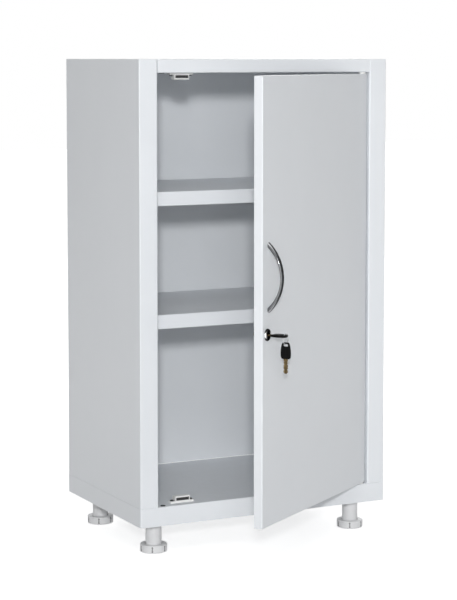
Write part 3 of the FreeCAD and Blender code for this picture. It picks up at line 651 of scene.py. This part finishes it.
def moulded(name, low, high, rough_low, rough_high, pimples, edge_tone, shine=0.5):
    """Moulded plastic or rubber: cloudy tone, fine grain, lighter rubbed edges and painted shade in slots."""
    material, tree, shader, place = new_material(name, Specular_IOR_Level=shine)
    skin = use_group(tree, skin_tree, {
        "Vector": place, "Pimples": pimples, "Waves": plastic_waves, "Wave Share": plastic_wave_share,
    })
    edge = use_group(tree, edge_tree, {"Vector": place, "Radius": plastic_edge})
    dirt = use_group(tree, dust_tree, {"Vector": place})
    crevice_shade = use_group(tree, painted_crevice_shade_tree, {"Vector": place})
    toned = mixed(tree, skin["Tone"], low, high)
    dusty = tinted(tree, toned, dirt["Dust"], plastic_dust, (0.5, 0.49, 0.47, 1))
    rubbed = tinted(tree, dusty, edge["Edge"], plastic_rubbing, edge_tone)
    # painted shade: near-black laid into slots and inner corners, where shade falls
    crevice_shaded = tinted(tree, rubbed, crevice_shade["Painted Shade"], plastic_crevice_shade, (0.02, 0.02, 0.02, 1))
    tree.links.new(crevice_shaded, shader.inputs["Base Color"])
    tree.links.new(remap(tree, skin["Tone"], 0.0, 1.0, rough_low, rough_high), shader.inputs["Roughness"])
    bump(tree, shader, skin["Height"], 0.3, plastic_relief)
    return material


coat = powder_coat()
zinc = plated("bright_zinc", (0.50, 0.51, 0.52, 1), (0.66, 0.67, 0.68, 1), 0.26, 0.40, (0.2, 1.0, 1.0))
# Chrome of the handle and of the lock, both with painted reflections; the lock's left rim gets a painted highlight
painted_reflection_chrome = polished_with_painted_reflections(
    "chrome_painted_reflections", (0.022, 0.024, 0.027, 1), (0.66, 0.67, 0.69, 1), 0.20, 0.9, (0.3, 0.3, 0.3, 1)
)
lock_chrome_painted_reflections = polished_with_painted_reflections(
    "lock_chrome_painted_reflections", (0.005, 0.005, 0.005, 1), (0.75, 0.75, 0.75, 1), 1.0, 0.0, (0.1, 0.1, 0.1, 1)
)
key_metal = plated(
    "washed_brass", (0.045, 0.032, 0.016, 1), (0.17, 0.125, 0.065, 1), 0.28, 0.44, (1.0, 1.0, 0.15)
)
# zinc darkened to paint the shade that the lock cam, its screw, the catch poles and the catch screws sit in
shade_darkened_zinc = plated("zinc_darkened_for_shade", (0.05, 0.05, 0.05, 1), (0.12, 0.12, 0.12, 1), 0.34, 0.5, (1.0, 1.0, 0.2))
stud_steel = plated("stud_zinc", (0.42, 0.42, 0.42, 1), (0.56, 0.56, 0.56, 1), 0.30, 0.45, (1.0, 1.0, 0.3))
black_plastic = moulded(
    "black_key_plastic", (0.003, 0.003, 0.003, 1), (0.007, 0.007, 0.007, 1), 0.34, 0.48, 900.0,
    (0.012, 0.012, 0.012, 1), 0.05,
)
foot_plastic = moulded(
    "grey_foot_plastic", (0.72, 0.725, 0.735, 1), (0.78, 0.785, 0.795, 1), 0.40, 0.52, 800.0,
    (0.84, 0.84, 0.85, 1),
)
white_plastic = moulded(
    "white_catch_plastic", (0.80, 0.80, 0.79, 1), (0.85, 0.85, 0.84, 1), 0.30, 0.42, 900.0,
    (0.90, 0.90, 0.89, 1),
)
ferrite = moulded(
    "dark_magnet", (0.012, 0.012, 0.013, 1), (0.030, 0.030, 0.031, 1), 0.45, 0.62, 1200.0,
    (0.06, 0.06, 0.06, 1),
)
sole_rubber = moulded(
    "dark_sole_rubber", (0.05, 0.05, 0.05, 1), (0.09, 0.09, 0.09, 1), 0.62, 0.80, 700.0,
    (0.14, 0.14, 0.14, 1),
)
slot_materials = {
    "white_paint": coat,
    "zinc_steel": zinc,
    "chrome_plate": painted_reflection_chrome,
    "white_plastic": white_plastic,
    "ferrite": ferrite,
    "key_brass": key_metal,
    "black_plastic": black_plastic,
    "foot_plastic": foot_plastic,
    "stud_steel": stud_steel,
    "sole_rubber": sole_rubber,
}
node_materials = {
    "lock_plug": lock_chrome_painted_reflections,
    # the catch poles take the zinc darkened as painted shade
    "upper_catch_poles": shade_darkened_zinc,
    "lower_catch_poles": shade_darkened_zinc,
}


def dress_frame():
    """Give every CAD node its own material, or else the one of its slot."""
    for subpart in frame["record"]["subparts"]:
        node = subpart["node"]
        mesh = cad[node].data
        mesh.materials.clear()
        mesh.materials.append(node_materials.get(node, slot_materials[subpart["material_slot"]]))


# Handle

def bow_handle():
    """Bow handle: at each share of its length an outer and an inner arc give the section's two sides, and
    the section is a squared-off ellipse between them, so both feet end flat on the door."""
    low_z, high_z = corners_along("door_handle", up)
    near, far = corners_along("door_handle", outward)
    low_side, high_side = corners_along("door_handle", hinge_way)
    half_span = (high_z - low_z) / 2
    reach = far - near

    def arch(half, rise, share):
        radius = (half ** 2 + rise ** 2) / (2 * rise)
        swing = math.asin(half / radius)
        return radius * np.sin(swing * share), radius * np.cos(swing * share) - (radius - rise)

    share = np.linspace(-1, 1, handle_steps)[:, None]
    outer_z, outer_n = arch(half_span, reach, share)
    inner_z, inner_n = arch(half_span - handle_foot, reach - handle_thickness, share)
    angle = np.linspace(0, 2 * np.pi, section_steps, endpoint=False)[None, :]
    side = squared_off(np.cos(angle), handle_squareness)
    face = squared_off(np.sin(angle), handle_squareness)
    half_width = (high_side - low_side) / 2
    z = (outer_z + inner_z) / 2 + (outer_z - inner_z) / 2 * face
    n = (outer_n + inner_n) / 2 + (outer_n - inner_n) / 2 * face
    grid = np.stack([side * half_width + 0 * z, n, z], axis=-1)
    middle = (low_side + high_side) / 2 * hinge_way + near * outward + (low_z + high_z) / 2 * up
    shape = placed(tube(grid), middle, hinge_way, outward, up)
    return piece("bow_handle", [shape], "door", "chrome_plate", painted_reflection_chrome, "door_handle")


# Lock

def lock_body():
    """Lock body turned about its axis: rounded bezel with a groove, threaded barrel and the plug's bore."""
    face_radius = (corners_along("lock_housing", up)[1] - corners_along("lock_housing", up)[0]) / 2
    near, far = corners_along("lock_housing", inward)
    door_face = corners_along("door_shell", inward)[0]
    flange = door_face - near
    barrel = thread(barrel_radius, barrel_thread_depth, barrel_pitch, flange, far - near)
    groove_edge = plug_bore + bezel_land
    profile = [(plug_bore, far - near), (plug_bore, small_step), (plug_bore + small_step, 0.0)]
    profile += [(groove_edge - small_step, 0.0), (groove_edge - small_step / 2, bezel_groove)]
    profile += [(groove_edge - bezel_groove, bezel_groove), (groove_edge, 0.0)]
    profile += quarter_round(face_radius, bezel_land, bezel_round)
    profile += [(face_radius, flange)]
    grid = np.concatenate([turned(profile, 48), barrel])
    axis = np.array(joints["lock_turn"]["pos_m"], float)
    origin = axis + (near - axis @ inward) * inward
    shape = placed(tube(grid, wrap_rows=True), origin, hinge_way, up, inward)
    return piece("lock_body", [shape], "door", "chrome_plate", lock_chrome_painted_reflections, "lock_housing")


def cam_screw():
    """Washer-headed screw of the cam: a cross-recessed head on a flat washer, over its threaded shank."""
    near, far = corners_along("cam_screw", inward)
    radius = (corners_along("cam_screw", up)[1] - corners_along("cam_screw", up)[0]) / 2
    axis = np.array(joints["lock_turn"]["pos_m"], float)
    seat = far - cam_screw_head
    head = cross_head(radius * cam_head_share, cam_screw_head - washer_height, small_step, recess_depth)
    head = head + np.array([0, 0, washer_height])
    profile = [(radius * washer_top_share, washer_height), (radius, washer_height * washer_side_share)]
    washer = turned(profile + [(radius, 0.0)], 56)
    neck = turned([(cam_screw_shank, 0.0)], 56)
    shank = thread(cam_screw_shank, screw_thread_depth, screw_pitch, near - seat, 0.0, 56)[::-1]
    grid = np.concatenate([head, washer, neck, shank])
    origin = axis + (seat - axis @ inward) * inward
    shape = placed(tube(grid), origin, hinge_way, up, inward)
    return piece("cam_washer_screw", [shape], "lock_core", "zinc_steel", shade_darkened_zinc, "cam_screw")


def cam_plate():
    """Cam as a flat plate: its half width is a round end about the lock's axis that runs into a narrower
    tongue with a rounded tip, and its section is a squared-off oval."""
    low_z, high_z = corners_along("lock_cam", up)
    near, far = corners_along("lock_cam", inward)
    axis = np.array(joints["lock_turn"]["pos_m"], float)
    head = high_z - axis[2]
    reach = axis[2] - low_z
    round_part = head * -np.cos(np.linspace(0, np.pi / 2, 16))
    down = np.concatenate([round_part, np.linspace(small_step, reach, 50)])
    round_end = np.sqrt(np.maximum(head ** 2 - down ** 2, 0))
    past_tip = np.maximum(down - (reach - cam_tongue), 0)
    tongue = np.sqrt(np.maximum(cam_tongue ** 2 - past_tip ** 2, 0))
    half = np.where(down < 0, round_end, np.maximum(round_end, tongue))
    half = np.maximum(half, small_step / 3)
    angle = np.linspace(0, 2 * np.pi, 32, endpoint=False)[None, :]
    x = half[:, None] * squared_off(np.cos(angle), cam_squareness)
    y = (far - near) / 2 * squared_off(np.sin(angle), cam_squareness) + 0 * x
    grid = np.stack([x, y, -down[:, None] + 0 * x], axis=-1)
    origin = axis + ((near + far) / 2 - axis @ inward) * inward
    shape = placed(tube(grid), origin, hinge_way, inward, up)
    return piece("cam_plate", [shape], "lock_core", "zinc_steel", shade_darkened_zinc, "lock_cam")


# Keys and ring

def key_outlines(length, half_width, steps=120):
    """Outline of a key head, a squared-off oval that widens from its tip, and the outline of its slot."""
    angle = np.linspace(0, 2 * np.pi, steps, endpoint=False)
    outer_x = squared_off(np.cos(angle), bow_squareness)
    outer_y = length / 2 + squared_off(np.sin(angle), bow_squareness) * length / 2
    along = outer_y / length
    widening = np.sin(np.pi / 2 * np.clip(along / bow_widest_share, 0, 1))
    narrowing = bow_narrowing * np.clip(along - bow_widest_share, 0, 1)
    taper = bow_tip_share + (1 - bow_tip_share) * widening - narrowing
    outer = np.stack([outer_x * half_width * taper, outer_y], axis=-1)
    slot_x = squared_off(np.cos(angle), bow_slot_squareness) * slot_half_width
    slot_y = squared_off(np.sin(angle), bow_slot_squareness) * slot_half_length
    slot_y = slot_y + slot_from_tip + slot_half_length
    return outer, np.stack([slot_x, slot_y], axis=-1)


def key_head(name, node, body, across, ahead, thick):
    """Plastic key head as a ring-shaped skin: an outer outline and the slot's outline share one angle, and
    between them runs a rounded section, thicker in the middle of the head than at its rim."""
    low_x, high_x = corners_along(node, across)
    low_y, high_y = corners_along(node, ahead)
    low_z, high_z = corners_along(node, thick)
    half_width = (high_x - low_x) / 2 - bow_clearance
    length = high_y - low_y
    half_thickness = (high_z - low_z) / 2
    outer, inner = key_outlines(length, half_width)
    turn = np.linspace(0, 2 * np.pi, 44, endpoint=False)
    across_share = 0.5 + 0.5 * squared_off(np.cos(turn), bow_section_squareness)
    height_share = squared_off(np.sin(turn), bow_section_squareness)
    flat = inner[None, :, :] + (outer - inner)[None, :, :] * across_share[:, None, None]
    crown = half_thickness - bow_swell * np.abs(2 * across_share - 1) ** bow_crown_power
    z = (height_share * crown)[:, None] * np.ones(len(outer))[None, :]
    grid = np.concatenate([flat, z[:, :, None]], axis=-1)
    origin = (low_x + high_x) / 2 * across + low_y * ahead + (low_z + high_z) / 2 * thick
    shape = placed(tube(grid, wrap_rows=True), origin, across, ahead, thick)
    return piece(name, [shape], body, "black_plastic", black_plastic, node)


def milled_key(name, node, body, across, ahead, thick):
    """Key blade: a squared-off section carried along the blade; its half width dips in a row of notches and
    closes to a blunt point, and a milled groove runs along both flats."""
    low_x, high_x = corners_along(node, across)
    low_y, high_y = corners_along(node, ahead)
    low_z, high_z = corners_along(node, thick)
    half_width = (high_x - low_x) / 2
    half_thickness = (high_z - low_z) / 2
    length = high_y - low_y
    y = np.linspace(0, length, 150)[:, None]
    notch_pitch = (length - blade_tang - blade_tip) / (len(notch_depths) + 1)
    dip = np.zeros_like(y)
    for number, depth in enumerate(notch_depths):
        middle = blade_tang + notch_pitch * (number + 1)
        dip = np.maximum(dip, depth - np.abs(y - middle) * notch_slope)
    point = np.clip((y - (length - blade_tip)) / blade_tip, 0, 1)
    width = half_width - dip - point * blade_tip
    angle = np.linspace(0, 2 * np.pi, 64, endpoint=False)[None, :]
    x = width * squared_off(np.cos(angle), blade_squareness)
    side = squared_off(np.sin(angle), blade_squareness)
    from_middle = np.abs(x - groove_offset) / groove_width
    groove = groove_depth * np.clip(groove_steepness * (1 - from_middle), 0, 1)
    started = np.clip((y - blade_tang) / small_step, 0, 1) * np.clip((length - y) / blade_tip, 0, 1)
    z = side * (half_thickness - groove * started)
    grid = np.stack([x, y + 0 * angle, z], axis=-1)
    origin = (low_x + high_x) / 2 * across + low_y * ahead + (low_z + high_z) / 2 * thick
    shape = placed(tube(grid), origin, across, ahead, thick)
    return piece(name, [shape], body, "key_brass", key_metal, node)


def split_ring():
    """Split ring: a flat wire section carried along two turns of a shallow coil that steps over itself
    in the middle of its run."""
    low_n, high_n = corners_along("key_ring", outward)
    low_z, high_z = corners_along("key_ring", up)
    low_u, high_u = corners_along("key_ring", hinge_way)
    wire = high_n - low_n
    radius = (high_z - low_z - wire) / 2
    turn = np.linspace(ring_opening, 4 * np.pi - ring_opening, ring_steps)[:, None]
    step = np.tanh((turn - 2 * np.pi) * ring_step_sharpness)
    layer = step * wire * (0.5 - ring_flat_share / 2)
    angle = np.linspace(0, 2 * np.pi, 16, endpoint=False)[None, :]
    radial = squared_off(np.cos(angle), wire_squareness) * wire / 2
    axial = squared_off(np.sin(angle), wire_squareness) * wire * ring_flat_share / 2
    around = radius + radial
    grid = np.stack([around * np.cos(turn), around * np.sin(turn), axial + layer], axis=-1)
    middle = (low_n + high_n) / 2 * outward + (low_z + high_z) / 2 * up + (low_u + high_u) / 2 * hinge_way
    shape = placed(tube(grid), middle, hinge_way, up, outward)
    return piece("split_ring", [shape], "ring", "zinc_steel", zinc, "key_ring")


# Small fasteners

def catch_screws():
    """Cross-recessed screws of both catches, those above turned over, each over a threaded shank."""
    shapes = []
    for middle, half in islands("catch_screws"):
        sign = 1.0 if middle[2] < aim_height else -1.0
        seat = sign * half[2] - sign * catch_screw_head
        low = catch_screw_head - 2 * half[2]
        head = cross_head(half[0], catch_screw_head, small_step, recess_depth)
        shank = thread(catch_screw_shank, screw_thread_depth, screw_pitch, low, 0.0, 56)[::-1]
        origin = middle + np.array([0, 0, seat])
        grid = np.concatenate([head, shank])
        shapes.append(placed(tube(grid), origin, (1, 0, 0), (0, sign, 0), (0, 0, sign)))
    return piece("catch_pan_screws", shapes, "cabinet", "zinc_steel", shade_darkened_zinc, "catch_screws")


def base_bolts():
    """Domed cross-recessed bolts through the base flanges, each over a threaded shank."""
    shapes = []
    for middle, half in islands("base_bolts"):
        origin = middle + np.array([0, 0, half[2] - base_bolt_head])
        low = base_bolt_head - 2 * half[2]
        head = cross_head(half[0], base_bolt_head, 2 * small_step, recess_depth)
        shank = thread(base_bolt_shank, bolt_thread_depth, bolt_pitch, low, 0.0, 56)[::-1]
        shapes.append(placed(tube(np.concatenate([head, shank])), origin, (1, 0, 0), (0, 1, 0), (0, 0, 1)))
    return piece("base_dome_bolts", shapes, "cabinet", "zinc_steel", zinc, "base_bolts")


def base_nuts():
    """Hexagonal nuts under the tray floor, chamfered on their lower corners and bored for the bolt."""
    shapes = []
    for middle, half in islands("base_nuts"):
        outside = hex_head(half[1] * 2, 2 * half[2])
        bore = turned([(base_nut_bore, 2 * half[2]), (base_nut_bore, 0.0)], 96)
        grid = np.concatenate([outside, bore])
        origin = middle + np.array([0, 0, half[2]])
        shapes.append(placed(tube(grid, wrap_rows=True), origin, (1, 0, 0), (0, -1, 0), (0, 0, -1)))
    return piece("base_hex_nuts", shapes, "cabinet", "zinc_steel", zinc, "base_nuts")


def leg_bolts():
    """Hexagonal bolts that hold the legs, with chamfered heads and plain shanks."""
    shapes = []
    for middle, half in islands("leg_bolts"):
        low = leg_bolt_head - 2 * half[2]
        head = hex_head(half[1] * 2, leg_bolt_head)[::-1]
        profile = [(leg_bolt_shank, 0.0), (leg_bolt_shank, low + small_step)]
        profile += [(leg_bolt_shank - small_step, low)]
        shank = turned(profile, 96)
        origin = middle + np.array([0, 0, half[2] - leg_bolt_head])
        shapes.append(placed(tube(np.concatenate([head, shank])), origin, (1, 0, 0), (0, 1, 0), (0, 0, 1)))
    return piece("leg_hex_bolts", shapes, "cabinet", "zinc_steel", zinc, "leg_bolts")


def back_rivets():
    """Blind rivets of the back panel: domed head with the broken stem's pit, shank and set tail."""
    shapes = []
    for middle, half in islands("back_rivets"):
        low = rivet_head - 2 * half[1]
        rim = rivet_head - rivet_rim_step
        pit = rivet_shank / 2
        profile = [(pit / 2, rivet_head - small_step), (pit, rivet_head - small_step), (pit, rivet_head)]
        profile += arc((half[0] - rim, 0.0), rim, 80, 0, 7)
        profile += [(rivet_shank, 0.0), (rivet_shank, -rivet_grip), (rivet_tail, -rivet_grip)]
        profile += [(rivet_tail, low + small_step), (rivet_tail / 2, low)]
        origin = middle + np.array([0, half[1] - rivet_head, 0])
        shapes.append(placed(tube(turned(profile, 40)), origin, (0, 0, 1), (1, 0, 0), (0, 1, 0)))
    return piece("back_blind_rivets", shapes, "cabinet", "zinc_steel", zinc, "back_rivets")


# Feet

def foot_stud(corner):
    """Threaded stud of a levelling foot, with a plain collar at its lower end and a chamfered top."""
    node = corner + "_foot_stud"
    low, high = (np.array(point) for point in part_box(node))
    radius = (high[0] - low[0]) / 2
    middle = (low + high) / 2
    length = high[2] - low[2]
    root = radius - stud_thread_depth
    profile = [(radius, 0.0), (radius, stud_collar - small_step), (root, stud_collar - small_step / 2)]
    start = turned(profile, 48)
    body = thread(radius, stud_thread_depth, stud_pitch, stud_collar, length - stud_chamfer)
    end = turned([(radius - stud_chamfer, length)], 48)
    origin = np.array([middle[0], middle[1], low[2]])
    shape = placed(tube(np.concatenate([start, body, end])), origin, (1, 0, 0), (0, 1, 0), (0, 0, 1))
    return piece(corner + "_threaded_stud", [shape], corner + "_cup", "stud_steel", stud_steel, node)


# Stage

def floor():
    """Plain pale floor that keeps the object's shadow; it glows to white only for rays that show it, and
    less so near the object, where the shadow falls."""
    mesh = bpy.data.meshes.new("pale_floor")
    reach = floor_reach
    mesh.from_pydata(
        [(-reach, -reach, 0), (reach, -reach, 0), (reach, reach, 0), (-reach, reach, 0)], [], [(0, 1, 2, 3)]
    )
    material, tree, shader, place = new_material("pale_floor", Roughness=0.9)
    shader.inputs["Base Color"].default_value = floor_colour
    away = add_node(tree, "ShaderNodeVectorMath", {0: place}, operation="LENGTH").outputs["Value"]
    level = remap(tree, away, shadow_reach, shadow_fade, floor_glow, 1.0)
    strength = math_node(tree, "MULTIPLY", seen_rays(tree), level)
    glow = add_node(tree, "ShaderNodeEmission", {"Strength": strength})
    both = add_node(tree, "ShaderNodeAddShader", {0: shader.outputs[0], 1: glow.outputs[0]})
    tree.links.new(both.outputs[0], tree.nodes["Material Output"].inputs["Surface"])
    mesh.materials.append(material)
    made = bpy.data.objects.new("pale_floor", mesh)
    bpy.context.scene.collection.objects.link(made)


def seen_rays(tree):
    """One where a ray comes from the camera, a reflection or a transmission, else nought."""
    path = add_node(tree, "ShaderNodeLightPath")
    glossy = math_node(tree, "MAXIMUM", path.outputs["Is Camera Ray"], path.outputs["Is Glossy Ray"])
    return math_node(tree, "MAXIMUM", glossy, path.outputs["Is Transmission Ray"])


def surroundings():
    """White surroundings where they are seen, and an even ambient light for the rest."""
    world = bpy.data.worlds.new("white_surroundings")
    world.use_nodes = True
    tree = world.node_tree
    strength = remap(tree, seen_rays(tree), 0.0, 1.0, ambient_level, 1.0)
    tree.links.new(strength, tree.nodes["Background"].inputs["Strength"])
    tree.nodes["Background"].inputs["Color"].default_value = (1, 1, 1, 1)
    bpy.context.scene.world = world


def lamp(name, power, size, place):
    """Square lamp at a place, turned to the middle of the cabinet."""
    data = bpy.data.lights.new(name, "AREA")
    data.energy = power
    data.size = size
    made = bpy.data.objects.new(name, data)
    made.location = place
    made.rotation_mode = "QUATERNION"
    made.rotation_quaternion = (Vector((0, 0, aim_height)) - place).to_track_quat("-Z", "Y")
    bpy.context.scene.collection.objects.link(made)


def lamps():
    """A flash beside the camera, and broad soft lamps ahead, above and behind."""
    lamp("flash_light", flash_light, flash_light_size, flash_light_place)
    lamp("soft_light", soft_light, soft_light_size, soft_light_place)
    lamp("top_light", top_light, top_light_size, top_light_place)
    lamp("back_light", back_light, back_light_size, back_light_place)


def camera():
    """Camera at the photograph's viewing angle."""
    data = bpy.data.cameras.new("photo_camera")
    data.sensor_width = sensor_size
    data.lens = focal_pixels * sensor_size / photo_height
    data.shift_y = camera_shift
    made = bpy.data.objects.new("photo_camera", data)
    made.location = camera_place
    made.rotation_mode = "QUATERNION"
    level = math.cos(camera_pitch)
    ahead = Vector((math.sin(camera_yaw) * level, math.cos(camera_yaw) * level, -math.sin(camera_pitch)))
    made.rotation_quaternion = ahead.to_track_quat("-Z", "Y")
    bpy.context.scene.collection.objects.link(made)
    bpy.context.scene.camera = made


dress_frame()
bow_handle()
lock_body()
cam_plate()
cam_screw()
key_head("key_head", "key_bow", "key", hinge_way, inward, up)
key_head("spare_key_head", "spare_key_bow", "spare_key", inward, -up, -hinge_way)
milled_key("milled_key", "key_blade", "key", hinge_way, inward, up)
milled_key("milled_spare_key", "spare_key_blade", "spare_key", inward, -up, -hinge_way)
split_ring()
catch_screws()
base_bolts()
base_nuts()
leg_bolts()
back_rivets()
for corner in ("front_left", "front_right", "rear_left", "rear_right"):
    foot_stud(corner)
floor()
surroundings()
lamps()
camera()
bpy.context.scene.view_settings.view_transform = "Standard"
